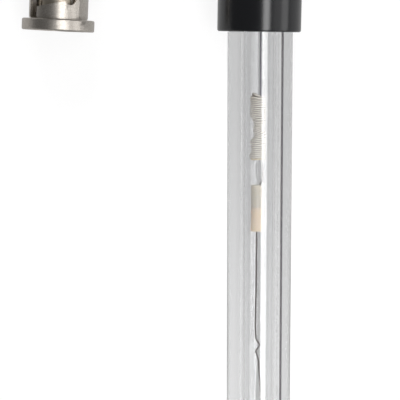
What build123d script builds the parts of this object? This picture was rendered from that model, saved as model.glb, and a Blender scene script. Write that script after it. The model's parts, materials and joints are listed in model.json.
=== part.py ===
from build123d import *
import math
import os

# A combination pH electrode: a glass body with a measuring stem inside it, a moulded cap, and a coaxial
# cable that ends in a bayonet plug. Lengths are in millimetres and angles in degrees.
# The electrode lies on the ground plane, with +Y from its bulb to its cap and +Z up, and its middle is over
# the origin. Its pieces are modelled upright, with the cap's front edge at Z = 0 and the bulb below, and are
# laid down last. The plug's pieces are modelled upright too, with the mouth at Z = 0 and the cable above.

# Glass body, stem and bulb
TUBE_OD = 12.0
TUBE_WALL = 1.0
TUBE_BELOW_CAP = 110.0
TUBE_IN_CAP = 14.0
TUBE_SEAT_STEP = 0.2
TUBE_END_RADIUS = 2.5
STEM_OD = 5.3
STEM_WALL = 0.7
STEM_NECK = 0.6
BULB_OD = 9.4
BULB_WALL = 0.4
JUNCTION_DIAMETER = 1.2
JUNCTION_ABOVE_END = 9.0
FILL_GAP = 0.03

# What hangs in the stem, and the wire beside it
STOPPER_LENGTH = 5.0
LEAD_DIAMETER = 0.3
LEAD_OFFSET = 0.12
WIRE_IN_POTTING = 4.0
COIL_DIAMETER = 2.2
COIL_WIRE = 0.3
COIL_PITCH = 0.37
COIL_TURNS = 33
COIL_OFFSET = -0.22
COIL_BELOW_CAP = 12.0
COIL_WAIST = 0.28
COIL_WAIST_PLACE = 0.5
COIL_WAIST_SPREAD = 0.14
SEAL_DIAMETER = 2.1
SEAL_LENGTH = 4.2
SEAL_BELOW_COIL = 4.0
PLUG_PIECE_LENGTH = 4.5
MEASURING_WIRE_DIAMETER = 0.24
WIRE_BEND_RADIUS = 0.25
REFERENCE_WIRE_DIAMETER = 0.32
REFERENCE_WIRE_GAP = 0.24
REFERENCE_WIRE_ABOVE_END = 14.0
MEASURING_WIRE_ABOVE_END = 10.0

# Cap and its cable boot
CAP_OD = 15.4
CAP_LENGTH = 32.0
CAP_EDGE_RADIUS = 0.4
CAP_SHOULDER_LENGTH = 8.0
CAP_REAR_OD = 10.8
CAP_CAVITY_DIAMETER = 11.2
CAP_REAR_WALL = 5.0
CAP_TUBE_GAP = 0.03
BOOT_LENGTH = 24.0
BOOT_FRONT_OD = 8.6
BOOT_REAR_OD = 5.0
BOOT_SPIGOT_DIAMETER = 6.0
BOOT_RIBS = 5
BOOT_GROOVE_WIDTH = 1.0
BOOT_GROOVE_DEPTH = 0.6
RIBBED_SHARE = 0.62
PLAIN_END_SHARE = 0.06

# Cable
CABLE_DIAMETER = 3.0
CABLE_GAP = 0.04
CABLE_IN_POTTING = 3.0
RUN_IN_BOOT = 12.0
STRAIGHT_EXIT = 5.0
ARC_SHARE = 0.45

# Plug: the sleeve that slides and turns
COLLAR_WALL = 0.5
RIM_STEP = 1.25
RIM_LENGTH = 2.1
RIM_EDGE_RADIUS = 0.3
UNDERCUT_WIDTH = 0.25
UNDERCUT_DEPTH = 0.15
BARREL_LENGTH = 6.7
GRIP_STEP = 1.75
GRIP_LENGTH = 8.4
GRIP_CHAMFER = 0.5
GRIP_GROOVES = 30
GRIP_GROOVE_DEPTH = 0.35
COLLAR_FLANGE_THICKNESS = 1.2
REAR_BORE_STEP = 0.4
COLLAR_TRAVEL = 0.7

# Plug: the two bayonet slots, as angles from the face that looks up, and heights from the mouth
SLOT_WIDTH = 2.3
SLOT_BEYOND_BARREL = 0.25
SLOT_INTO_BORE = 0.5
SLOT_ENTRY_ANGLE = -53.0
SLOT_LOCK_ANGLE = 29.0
SLOT_ENTRY_HEIGHT = 5.1
SLOT_CREST_HEIGHT = 6.65
SLOT_LOCK_HEIGHT = 5.8

# Plug: the body, its contacts and what seats on it
CONTACT_OD = 8.1
CONTACT_WALL = 0.5
CONTACT_RECESS = 0.9
CONTACT_BASE_STEP = 0.2
CONTACT_BASE_LENGTH = 0.9
CONTACT_SLOTS = 4
CONTACT_SLOT_WIDTH = 0.5
CONTACT_SLOT_LENGTH = 6.0
INSULATOR_RECESS = 1.8
INSULATOR_WELL_DIAMETER = 4.9
INSULATOR_WELL_DEPTH = 6.2
INSULATOR_REAR_DIAMETER = 5.0
INSULATOR_REAR_LENGTH = 5.6
PIN_DIAMETER = 1.37
PIN_RECESS = 1.2
PIN_NOSE_RADIUS = 0.6
PIN_SHANK_DIAMETER = 1.8
PIN_CUP_DIAMETER = 2.0
PIN_CUP_LENGTH = 2.4
GASKET_THICKNESS = 0.8
GASKET_WIDTH = 0.55
GASKET_GAP = 0.1
BODY_FLANGE_FRONT = 9.4
BODY_FLANGE_THICKNESS = 1.2
BODY_SHOULDER = 0.9
BODY_REAR_STEP = 0.5
BODY_NECK_CLEARANCE = 0.8
BODY_REAR_LENGTH = 3.6
BODY_CAVITY_DIAMETER = 4.0
STEM_TUBE_OD = 3.6
STEM_TUBE_BORE = 1.8
STEM_TUBE_LENGTH = 6.8
WASHER_THICKNESS = 0.4
SPRING_THICKNESS = 0.25
SPRING_CLEARANCE = 0.02
RUNNING_GAP = 0.05
RETAINER_THICKNESS = 0.6
RETAINER_WIDTH = 1.1
RETAINER_GROOVE_DEPTH = 0.4
RETAINER_OPENING = 30.0
SCREEN_ROOM = 0.3
FERRULE_WALL = 0.5
FERRULE_GAP = 0.1
FERRULE_FLAT_WALL = 0.25
FERRULE_CRIMP_LENGTH = 4.5
PLUG_BOOT_LENGTH = 21.0
PLUG_BOOT_WALL = 1.06
PLUG_BOOT_REAR_OD = 4.8
PLUG_BOOT_RIBS = 4
PLUG_BOOT_GROOVE_WIDTH = 0.9
PLUG_BOOT_GROOVE_DEPTH = 0.5

# Where the plug lies: its mouth just behind the cap's front edge, leaning a little in plan
PLUG_X = -37.25
PLUG_BEHIND_EDGE = 0.2
PLUG_LEAN = 2.8
PLUG_REST_GAP = 0.02

# The put-away cable: a flat coil of two layers behind the cap, held by one tie
COIL_CENTRE = (-18.0, 96.0)
TURN_MIDDLE_DIAMETER = 38.6
TURNS_PER_LAYER = 3.8
LAYERS = 2
TIE_WIDTH = 5.0
TIE_THICKNESS = 0.7
TIE_CORNER = 1.2

# Points of the cable's two free stretches: x across, y behind the cap's front edge, and the clear height
# under the cable
RUN_POINTS = [
    (0.7, 70.0, 5.4),
    (2.3, 78.5, 1.5),
    (4.6, 87.0, 0.02),
    (6.4, 96.5, 0.02),
]
TAIL_POINTS = [
    (-42.5, 96.5, 3.0),
    (-41.1, 87.5, 2.6),
    (-38.9, 79.0, 0.4),
    (-37.2, 70.5, 0.02),
    (-36.1, 62.0, 0.4),
    (-35.4, 53.5, 3.7),
]

# Points of the measuring wire down to its kinks: x across the stem, and depth below the coil
KINKED_POINTS = [
    (0.42, 0.2),
    (0.44, 2.8),
    (-0.3, 5.2),
    (-0.35, 13.2),
    (-0.37, 22.8),
    (-0.46, 30.8),
    (-0.38, 33.2),
    (0.2, 34.4),
    (-0.4, 35.6),
    (0.02, 37.4),
]

# Points of its last stretch: x across the stem, and the share of the way from the kinks to the wire's end
LOWER_POINTS = [
    (0.3, 0.17),
    (0.12, 0.58),
    (0.05, 1.0),
]

# Derived sizes
tube_r = TUBE_OD / 2
tube_bore = TUBE_OD - 2 * TUBE_WALL
seat_r = tube_r - TUBE_SEAT_STEP
stem_bore = STEM_OD - 2 * STEM_WALL
bulb_r = BULB_OD / 2
neck_low = -TUBE_BELOW_CAP - STEM_NECK
bulb_centre = neck_low - math.sqrt(bulb_r**2 - (STEM_OD / 2) ** 2)
cap_r = CAP_OD / 2
cap_cavity_top = CAP_LENGTH - CAP_REAR_WALL
stopper_low = TUBE_IN_CAP - STOPPER_LENGTH
coil_length = COIL_TURNS * COIL_PITCH
coil_top = -COIL_BELOW_CAP
coil_low = coil_top - coil_length
seal_top = coil_low - SEAL_BELOW_COIL
seal_low = seal_top - SEAL_LENGTH
plug_piece_low = seal_low - PLUG_PIECE_LENGTH
reference_wire_x = STEM_OD / 2 + REFERENCE_WIRE_GAP + REFERENCE_WIRE_DIAMETER / 2
reference_wire_low = -TUBE_BELOW_CAP + REFERENCE_WIRE_ABOVE_END
measuring_wire_low = -TUBE_BELOW_CAP + MEASURING_WIRE_ABOVE_END
exit_height = CAP_LENGTH + BOOT_LENGTH

contact_base_r = CONTACT_OD / 2 + CONTACT_BASE_STEP
collar_bore_r = contact_base_r + GASKET_WIDTH + GASKET_GAP
barrel_r = collar_bore_r + COLLAR_WALL
rim_r = barrel_r + RIM_STEP
grip_r = barrel_r + GRIP_STEP
slot_r = barrel_r + SLOT_BEYOND_BARREL
neck_r = collar_bore_r - BODY_SHOULDER
grip_front = RIM_LENGTH + BARREL_LENGTH
grip_rear = grip_front + GRIP_LENGTH
body_flange_rear = BODY_FLANGE_FRONT + BODY_FLANGE_THICKNESS
washer_front = body_flange_rear + SPRING_THICKNESS + RUNNING_GAP + COLLAR_TRAVEL
collar_flange_front = washer_front + WASHER_THICKNESS
collar_flange_rear = collar_flange_front + COLLAR_FLANGE_THICKNESS
neck_rear = collar_flange_rear + RETAINER_THICKNESS + BODY_NECK_CLEARANCE
body_rear = neck_rear + BODY_REAR_LENGTH
stem_tube_rear = body_rear + STEM_TUBE_LENGTH
insulator_rear = BODY_FLANGE_FRONT + INSULATOR_REAR_LENGTH
well_floor = INSULATOR_RECESS + INSULATOR_WELL_DEPTH
ferrule_bore = STEM_TUBE_OD + 2 * SCREEN_ROOM
ferrule_od = ferrule_bore + 2 * FERRULE_WALL
plug_boot_front_od = ferrule_od + 2 * CABLE_GAP + 2 * PLUG_BOOT_WALL
plug_boot_rear = body_rear + PLUG_BOOT_LENGTH

# The electrode rests on the cap's front edge and on the tube's far end, so its cap end leans up a little
contact_span = TUBE_BELOW_CAP - TUBE_END_RADIUS + CAP_EDGE_RADIUS
lean = math.degrees(math.atan2(cap_r - tube_r, contact_span))
sin_lean = math.sin(math.radians(lean))
cos_lean = math.cos(math.radians(lean))
axis_height = cap_r * cos_lean - CAP_EDGE_RADIUS * sin_lean
boot_end_y = exit_height * cos_lean + BOOT_REAR_OD / 2 * sin_lean
bulb_end_y = bulb_centre * cos_lean - bulb_r
cap_edge_y = -(boot_end_y + bulb_end_y) / 2
plug_axis_height = grip_r + PLUG_REST_GAP
plug_mouth_y = cap_edge_y + PLUG_BEHIND_EDGE

laid_electrode = Pos(0, cap_edge_y, axis_height) * Rot(-90 + lean, 0, 0)
laid_plug = Pos(PLUG_X, plug_mouth_y, plug_axis_height) * Rot(0, 0, -PLUG_LEAN) * Rot(-90, 0, 0)


def rod(diameter, low, high):
    """A solid cylinder about Z between two heights."""
    upright = (Align.CENTER, Align.CENTER, Align.MIN)
    return Pos(0, 0, low) * Cylinder(diameter / 2, high - low, align=upright)


def pipe(outer, inner, low, high):
    """A hollow cylinder about Z between two heights, from its two diameters."""
    return rod(outer, low, high) - rod(inner, low - 1, high + 1)


def turned(*outline):
    """A solid of revolution about Z, from an outline of (radius, height) points."""
    edge = Polyline(*[(r, 0, z) for r, z in outline], close=True)
    return revolve(make_face(edge), Axis.Z)


def edges_at(solid, height, radius):
    """The round edges of a turned solid at one height and one radius."""
    found = solid.edges().filter_by(GeomType.CIRCLE)
    return [e for e in found if abs(e.center().Z - height) < 1e-3 and abs(e.radius - radius) < 1e-3]


def ribbed_boot(front, length, front_od, rear_od, bore, ribs, groove_width, groove_depth):
    """A tapered rubber sleeve with ring grooves along its rear two thirds."""
    rear = front + length
    boot = Pos(0, 0, front + length / 2) * Cone(front_od / 2, rear_od / 2, length)
    boot = boot - rod(bore, front - 1, rear + 1)
    pitch = RIBBED_SHARE * length / ribs
    for i in range(ribs):
        low = rear - PLAIN_END_SHARE * length - i * pitch - groove_width
        share = (low + groove_width / 2 - front) / length
        od = front_od + (rear_od - front_od) * share
        boot = boot - pipe(od + 2, od - 2 * groove_depth, low, low + groove_width)
    return boot


def swept_wire(points, diameter, bend_radius):
    """A thin wire through points, with one small radius at every bend."""
    path = FilletPolyline(*points, radius=bend_radius)
    start = Plane(origin=path @ 0, z_dir=path % 0)
    return sweep(start * Circle(diameter / 2), path)


def cable_path(points):
    """Straight runs joined by arcs, each as large as its two runs allow, and the arcs' radii."""
    spots = [Vector(*p) for p in points]
    radii = []
    for before, here, after in zip(spots, spots[1:], spots[2:]):
        turn = (here - before).get_angle(after - here)
        run = min((here - before).length, (after - here).length)
        radii.append(ARC_SHARE * run / math.tan(math.radians(turn / 2)))
    return FilletPolyline(*spots, radius=radii), radii


def cable_tube(name, points):
    """A stretch of cable along its route."""
    path, radii = cable_path(points)
    solid = sweep(Plane(origin=path @ 0, z_dir=path % 0) * Circle(CABLE_DIAMETER / 2), path)
    section = math.pi * CABLE_DIAMETER**2 / 4
    print(name, "length", round(path.length, 1), "volume share", round(solid.volume / section / path.length, 4))
    print(name, "radii", [round(r, 1) for r in radii])
    return solid


def body_tube():
    """The glass body, drawn in at its end and sealed on the stem there, with a hole for the junction."""
    end = -TUBE_BELOW_CAP
    stem_r = STEM_OD / 2
    inner_r = tube_bore / 2
    inner_end = end + TUBE_WALL
    inner_radius = TUBE_END_RADIUS - TUBE_WALL
    tube = turned(
        (stem_r, end), (tube_r, end), (tube_r, 0), (seat_r, 0), (seat_r, TUBE_IN_CAP),
        (inner_r, TUBE_IN_CAP), (inner_r, inner_end), (stem_r, inner_end),
    )
    tube = fillet(edges_at(tube, end, tube_r), TUBE_END_RADIUS)
    tube = fillet(edges_at(tube, inner_end, inner_r), inner_radius)
    return tube - junction_rod(2 * tube_r)


def junction_rod(reach):
    """A rod through the tube's wall, pointing across it."""
    height = -TUBE_BELOW_CAP + JUNCTION_ABOVE_END
    gel_middle = (STEM_OD + tube_bore) / 4
    return Pos(0, 0, height) * Rot(0, 90, 0) * rod(JUNCTION_DIAMETER, gel_middle, reach)


def ceramic_junction():
    """The porous rod that wets the outside, flush with the tube's outer face."""
    return junction_rod(2 * tube_r) & pipe(TUBE_OD, tube_bore, -TUBE_BELOW_CAP, 0)


def sensing_bulb():
    """The blown membrane on the stem's end."""
    bulb = Pos(0, 0, bulb_centre) * (Sphere(bulb_r) - Sphere(bulb_r - BULB_WALL))
    bulb = split(bulb, Plane.XY.offset(neck_low), keep=Keep.BOTTOM)
    return bulb - rod(stem_bore, bulb_centre, neck_low + 1)


def measuring_wire(extra=0):
    """The thin wire from the coil, through seal and plug, with a double kink, or the room for it."""
    kinked = [(x, 0, coil_low - depth) for x, depth in KINKED_POINTS]
    kinks_low = kinked[-1][2]
    lower = [(x, 0, kinks_low + share * (measuring_wire_low - kinks_low)) for x, share in LOWER_POINTS]
    return swept_wire(kinked + lower, MEASURING_WIRE_DIAMETER + 2 * extra, WIRE_BEND_RADIUS)


def silver_coil():
    """The close winding of coated silver wire: a ring for each turn, narrower at its waist."""
    outline = [(COIL_DIAMETER / 2 - 2 * COIL_WIRE, coil_low)]
    for i in range(COIL_TURNS):
        low = coil_low + i * COIL_PITCH
        share = (i + 0.5) / COIL_TURNS
        waist = COIL_WAIST * math.exp(-(((share - COIL_WAIST_PLACE) / COIL_WAIST_SPREAD) ** 2))
        radius = COIL_DIAMETER / 2 - waist
        outline += [(radius - COIL_WIRE / 2, low), (radius, low + COIL_PITCH / 2)]
    outline += [(COIL_DIAMETER / 2 - COIL_WIRE / 2, coil_top), (COIL_DIAMETER / 2 - 2 * COIL_WIRE, coil_top)]
    return Pos(COIL_OFFSET, 0, 0) * turned(*outline)


def stem_lead():
    """The straight lead from the cap to the top of the coil."""
    return Pos(LEAD_OFFSET, 0, 0) * rod(LEAD_DIAMETER, coil_top, TUBE_IN_CAP + WIRE_IN_POTTING)


def reference_wire():
    """The wire beside the stem."""
    place = Pos(reference_wire_x, 0, 0)
    return place * rod(REFERENCE_WIRE_DIAMETER, reference_wire_low, TUBE_IN_CAP + WIRE_IN_POTTING)


def reference_gel():
    """The gel between the tube and the stem."""
    gap = 2 * FILL_GAP
    inner_end = -TUBE_BELOW_CAP + TUBE_WALL
    inner_r = tube_bore / 2 - FILL_GAP
    gel = pipe(2 * inner_r, STEM_OD + gap, inner_end + FILL_GAP, stopper_low)
    gel = fillet(edges_at(gel, inner_end + FILL_GAP, inner_r), TUBE_END_RADIUS - TUBE_WALL)
    wire = Pos(reference_wire_x, 0, 0)
    return gel - wire * rod(REFERENCE_WIRE_DIAMETER + gap, reference_wire_low - FILL_GAP, stopper_low + 1)


def stem_buffer():
    """The liquid in the stem and the bulb, with room for all that hangs in it."""
    gap = 2 * FILL_GAP
    room_r = bulb_r - BULB_WALL - FILL_GAP
    fill = rod(stem_bore - gap, bulb_centre, stopper_low)
    fill = fill + Pos(0, 0, bulb_centre) * Sphere(room_r)
    fill = fill - Pos(LEAD_OFFSET, 0, 0) * rod(LEAD_DIAMETER + gap, coil_top - 1, stopper_low + 1)
    hung = Pos(COIL_OFFSET, 0, 0)
    fill = fill - hung * rod(COIL_DIAMETER + gap, coil_low - FILL_GAP, coil_top + FILL_GAP)
    fill = fill - hung * rod(SEAL_DIAMETER + gap, plug_piece_low - FILL_GAP, seal_top + FILL_GAP)
    return fill - measuring_wire(FILL_GAP)


def tube_stopper():
    """The soft ring that closes the top of the gel."""
    ring = pipe(tube_bore, STEM_OD, stopper_low, TUBE_IN_CAP)
    return ring - Pos(reference_wire_x, 0, 0) * rod(REFERENCE_WIRE_DIAMETER, stopper_low - 1, TUBE_IN_CAP + 1)


def stem_stopper():
    """The soft plug in the top of the stem."""
    plug = rod(stem_bore, stopper_low, TUBE_IN_CAP)
    return plug - Pos(LEAD_OFFSET, 0, 0) * rod(LEAD_DIAMETER, stopper_low - 1, TUBE_IN_CAP + 1)


def electrode_cap():
    """The moulded cap: a socket for the tube, a cavity for the leads and a hole for the boot."""
    socket_r = seat_r + CAP_TUBE_GAP
    cavity_r = CAP_CAVITY_DIAMETER / 2
    hole_r = BOOT_SPIGOT_DIAMETER / 2
    shoulder = CAP_LENGTH - CAP_SHOULDER_LENGTH
    cap = turned(
        (socket_r, 0), (cap_r, 0), (cap_r, shoulder), (CAP_REAR_OD / 2, CAP_LENGTH),
        (hole_r, CAP_LENGTH), (hole_r, cap_cavity_top), (cavity_r, cap_cavity_top),
        (cavity_r, TUBE_IN_CAP), (socket_r, TUBE_IN_CAP),
    )
    cap = fillet(edges_at(cap, 0, cap_r), CAP_EDGE_RADIUS)
    cap = fillet(edges_at(cap, shoulder, cap_r), CAP_SHOULDER_LENGTH / 2)
    return fillet(edges_at(cap, CAP_LENGTH, CAP_REAR_OD / 2), 2 * CAP_EDGE_RADIUS)


def cap_potting():
    """The resin round the leads and the cable's end."""
    resin = rod(CAP_CAVITY_DIAMETER, TUBE_IN_CAP, cap_cavity_top)
    wire_top = TUBE_IN_CAP + WIRE_IN_POTTING
    resin = resin - Pos(LEAD_OFFSET, 0, 0) * rod(LEAD_DIAMETER, TUBE_IN_CAP - 1, wire_top)
    resin = resin - Pos(reference_wire_x, 0, 0) * rod(REFERENCE_WIRE_DIAMETER, TUBE_IN_CAP - 1, wire_top)
    return resin - rod(CABLE_DIAMETER + 2 * CABLE_GAP, cap_cavity_top - CABLE_IN_POTTING, cap_cavity_top + 1)


def cable_boot():
    """The strain relief, with a spigot that fills the hole in the cap."""
    bore = CABLE_DIAMETER + 2 * CABLE_GAP
    boot = ribbed_boot(
        CAP_LENGTH, BOOT_LENGTH, BOOT_FRONT_OD, BOOT_REAR_OD, bore,
        BOOT_RIBS, BOOT_GROOVE_WIDTH, BOOT_GROOVE_DEPTH,
    )
    return boot + pipe(BOOT_SPIGOT_DIAMETER, bore, cap_cavity_top, CAP_LENGTH)


def bayonet_slot():
    """One slot's cutters: an entry groove from the mouth, a rising helix and a round lock behind its crest."""
    inner_r = collar_bore_r - SLOT_INTO_BORE
    middle_r = (inner_r + slot_r) / 2
    depth = slot_r - inner_r
    turn = SLOT_LOCK_ANGLE - SLOT_ENTRY_ANGLE
    rise = SLOT_CREST_HEIGHT - SLOT_ENTRY_HEIGHT
    helix = Helix(pitch=rise * 360 / turn, height=rise, radius=middle_r)
    section = Plane(origin=helix @ 0, x_dir=(1, 0, 0), z_dir=helix % 0) * Rectangle(depth, SLOT_WIDTH)
    ramp = Rot(0, 0, SLOT_ENTRY_ANGLE - 90) * Pos(0, 0, SLOT_ENTRY_HEIGHT) * sweep(section, helix, is_frenet=True)
    lying = Pos(0, -middle_r, 0) * Rot(90, 0, 0) * Cylinder(SLOT_WIDTH / 2, depth)
    entry = Rot(0, 0, SLOT_ENTRY_ANGLE) * (
        Pos(0, 0, SLOT_ENTRY_HEIGHT) * lying
        + Pos(0, -middle_r, SLOT_ENTRY_HEIGHT / 2 - 0.5) * Box(SLOT_WIDTH, depth, SLOT_ENTRY_HEIGHT + 1)
    )
    detent = SLOT_CREST_HEIGHT - SLOT_LOCK_HEIGHT
    lock = Rot(0, 0, SLOT_LOCK_ANGLE) * (
        Pos(0, 0, SLOT_LOCK_HEIGHT) * lying
        + Pos(0, 0, SLOT_CREST_HEIGHT) * lying
        + Pos(0, -middle_r, SLOT_LOCK_HEIGHT + detent / 2) * Box(SLOT_WIDTH, depth, detent)
    )
    return [ramp, entry, lock]


def coupling_collar():
    """The bayonet sleeve: rim, thin slotted barrel, grooved grip and the inner flange that pulls the plug home."""
    bore_r = collar_bore_r
    flange_r = neck_r + RUNNING_GAP
    rear_r = collar_bore_r + REAR_BORE_STEP
    groove_r = barrel_r - UNDERCUT_DEPTH
    collar = turned(
        (bore_r, 0), (rim_r, 0), (rim_r, RIM_LENGTH), (groove_r, RIM_LENGTH),
        (groove_r, RIM_LENGTH + UNDERCUT_WIDTH), (barrel_r, RIM_LENGTH + UNDERCUT_WIDTH),
        (barrel_r, grip_front), (grip_r - GRIP_CHAMFER, grip_front), (grip_r, grip_front + GRIP_CHAMFER),
        (grip_r, grip_rear - GRIP_CHAMFER), (grip_r - GRIP_CHAMFER, grip_rear), (rear_r, grip_rear),
        (rear_r, collar_flange_rear), (flange_r, collar_flange_rear),
        (flange_r, collar_flange_front), (bore_r, collar_flange_front),
    )
    collar = fillet(edges_at(collar, 0, rim_r) + edges_at(collar, RIM_LENGTH, rim_r), RIM_EDGE_RADIUS)
    for cutter in bayonet_slot():
        collar = collar - cutter - Rot(0, 0, 180) * cutter
    side = GRIP_GROOVE_DEPTH * math.sqrt(2)
    groove = Pos(0, 0, grip_front + GRIP_LENGTH / 2) * Rot(0, 0, 45) * Box(side, side, GRIP_LENGTH + 1)
    grooves = [place * groove for place in PolarLocations(grip_r, GRIP_GROOVES)]
    return collar - grooves


def outer_contact():
    """The springy contact sleeve, slit into fingers, on a short thicker base."""
    bore = CONTACT_OD - 2 * CONTACT_WALL
    sleeve = pipe(CONTACT_OD, bore, CONTACT_RECESS, BODY_FLANGE_FRONT)
    sleeve = sleeve + pipe(2 * contact_base_r, bore, BODY_FLANGE_FRONT - CONTACT_BASE_LENGTH, BODY_FLANGE_FRONT)
    slit = Pos(CONTACT_OD / 2, 0, CONTACT_RECESS) * Box(
        CONTACT_OD / 2, CONTACT_SLOT_WIDTH, 2 * CONTACT_SLOT_LENGTH
    )
    slits = [place * slit for place in PolarLocations(0, CONTACT_SLOTS, start_angle=45)]
    return sleeve - slits


def plug_insulator():
    """The white insulator: a lining with a well round the pin, and a rear part in the body's bore."""
    lining = rod(CONTACT_OD - 2 * CONTACT_WALL, INSULATOR_RECESS, BODY_FLANGE_FRONT)
    rear = rod(INSULATOR_REAR_DIAMETER, BODY_FLANGE_FRONT, insulator_rear)
    well = rod(INSULATOR_WELL_DIAMETER, INSULATOR_RECESS - 1, well_floor)
    return lining + rear - well - rod(PIN_SHANK_DIAMETER, 0, insulator_rear + 1)


def contact_pin():
    """The centre contact: a round nose, a thicker shank in the insulator and a cup for the cable's core."""
    pin = rod(PIN_DIAMETER, PIN_RECESS, well_floor)
    pin = fillet(edges_at(pin, PIN_RECESS, PIN_DIAMETER / 2), PIN_NOSE_RADIUS)
    pin = pin + rod(PIN_SHANK_DIAMETER, well_floor, insulator_rear)
    return pin + rod(PIN_CUP_DIAMETER, insulator_rear, insulator_rear + PIN_CUP_LENGTH)


def plug_gasket():
    """The soft ring that the socket's face presses on."""
    outer_r = contact_base_r + GASKET_WIDTH
    return pipe(2 * outer_r, 2 * contact_base_r, BODY_FLANGE_FRONT - GASKET_THICKNESS, BODY_FLANGE_FRONT)


def plug_body():
    """The turned body: front flange, neck with the retainer's groove, rear part and crimp stem."""
    flange_r = collar_bore_r - RUNNING_GAP
    rear_r = neck_r + BODY_REAR_STEP
    groove_r = neck_r - RETAINER_GROOVE_DEPTH
    groove_rear = collar_flange_rear + RETAINER_THICKNESS
    bore_r = INSULATOR_REAR_DIAMETER / 2
    cavity_r = BODY_CAVITY_DIAMETER / 2
    return turned(
        (bore_r, BODY_FLANGE_FRONT), (flange_r, BODY_FLANGE_FRONT), (flange_r, body_flange_rear),
        (neck_r, body_flange_rear), (neck_r, collar_flange_rear), (groove_r, collar_flange_rear),
        (groove_r, groove_rear), (neck_r, groove_rear), (neck_r, neck_rear),
        (rear_r, neck_rear), (rear_r, body_rear),
        (STEM_TUBE_OD / 2, body_rear), (STEM_TUBE_OD / 2, stem_tube_rear),
        (STEM_TUBE_BORE / 2, stem_tube_rear), (STEM_TUBE_BORE / 2, insulator_rear + PIN_CUP_LENGTH),
        (cavity_r, insulator_rear + PIN_CUP_LENGTH), (cavity_r, insulator_rear), (bore_r, insulator_rear),
    )


def spring_washer():
    """A bowed spring washer that fills the room between the body's flange and the thrust washer."""
    outer_r = collar_bore_r - 2 * RUNNING_GAP
    inner = 2 * (neck_r + RUNNING_GAP)
    height = washer_front - body_flange_rear - SPRING_CLEARANCE
    bow = (height**2 - SPRING_THICKNESS**2 + outer_r**2) / (2 * (height - SPRING_THICKNESS))
    top = washer_front - SPRING_CLEARANCE / 2
    lying = Pos(0, 0, top - bow) * Rot(0, 90, 0)
    shell = lying * (Cylinder(bow, 4 * outer_r) - Cylinder(bow - SPRING_THICKNESS, 4 * outer_r))
    return shell & pipe(2 * outer_r, inner, body_flange_rear, washer_front)


def thrust_washer():
    """The flat washer between the spring and the collar's flange."""
    outer_r = collar_bore_r - 2 * RUNNING_GAP
    return pipe(2 * outer_r, 2 * (neck_r + RUNNING_GAP), washer_front, collar_flange_front)


def retaining_ring():
    """The split ring that stops the collar."""
    inner_r = neck_r - RETAINER_GROOVE_DEPTH
    outer_r = inner_r + RETAINER_WIDTH
    rear = collar_flange_rear + RETAINER_THICKNESS
    ring = pipe(2 * outer_r, 2 * inner_r, collar_flange_rear, rear)
    opening = 2 * outer_r * math.sin(math.radians(RETAINER_OPENING / 2))
    return ring - Pos(0, outer_r, rear) * Box(opening, 2 * outer_r, 4 * RETAINER_THICKNESS)


def crimp_ferrule():
    """The sleeve pressed on the cable's screen, hexagonal where the tool closed on it."""
    front = body_rear + FERRULE_GAP
    rear = stem_tube_rear
    ferrule = pipe(ferrule_od, ferrule_bore, front, rear)
    low = (front + rear - FERRULE_CRIMP_LENGTH) / 2
    corner_r = (ferrule_bore / 2 + FERRULE_FLAT_WALL) / math.cos(math.radians(30))
    hexagon = Pos(0, 0, low) * extrude(RegularPolygon(corner_r, 6), FERRULE_CRIMP_LENGTH)
    band = pipe(ferrule_od + 1, ferrule_bore, low, low + FERRULE_CRIMP_LENGTH)
    return ferrule - (band - hexagon)


def plug_boot():
    """The plug's strain relief, over the ferrule and the first stretch of cable."""
    front = body_rear + FERRULE_GAP
    bore = CABLE_DIAMETER + 2 * CABLE_GAP
    boot = ribbed_boot(
        front, plug_boot_rear - front, plug_boot_front_od, PLUG_BOOT_REAR_OD, bore,
        PLUG_BOOT_RIBS, PLUG_BOOT_GROOVE_WIDTH, PLUG_BOOT_GROOVE_DEPTH,
    )
    return boot - rod(ferrule_od + 2 * CABLE_GAP, front - 1, stem_tube_rear)


def rounded_ring(grow):
    """The coil's outer shape, grown on every side: a ring of rounded rectangular section."""
    half_width = TURNS_PER_LAYER * CABLE_DIAMETER / 2 + grow
    height = LAYERS * CABLE_DIAMETER + 2 * grow
    place = Plane.XZ * Pos(TURN_MIDDLE_DIAMETER / 2, TIE_THICKNESS + LAYERS * CABLE_DIAMETER / 2)
    section = place * RectangleRounded(2 * half_width, height, TIE_CORNER)
    return Pos(COIL_CENTRE[0], cap_edge_y + COIL_CENTRE[1], 0) * revolve(section, Axis.Z)


def tie_room():
    """The slab that the tie fills, across the far side of the coil."""
    reach = TURN_MIDDLE_DIAMETER
    far = (Align.CENTER, Align.MIN, Align.CENTER)
    return Pos(COIL_CENTRE[0], cap_edge_y + COIL_CENTRE[1], 0) * Box(TIE_WIDTH, reach, reach, align=far)


def route(points):
    """Route points as places of the cable's middle."""
    return [(x, cap_edge_y + y, CABLE_DIAMETER / 2 + clear) for x, y, clear in points]


def run_route():
    """Straight out of the cap's boot, down to the ground and to the coil."""
    ends = [laid_electrode * Pos(0, 0, h) for h in (exit_height - RUN_IN_BOOT, exit_height + STRAIGHT_EXIT)]
    return [tuple(e.position) for e in ends] + route(RUN_POINTS)


def tail_route():
    """From the coil, over the ground and up, straight into the plug's boot."""
    ends = [laid_plug * Pos(0, 0, h) for h in (plug_boot_rear + STRAIGHT_EXIT, stem_tube_rear)]
    return route(TAIL_POINTS) + [tuple(e.position) for e in ends]


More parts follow.
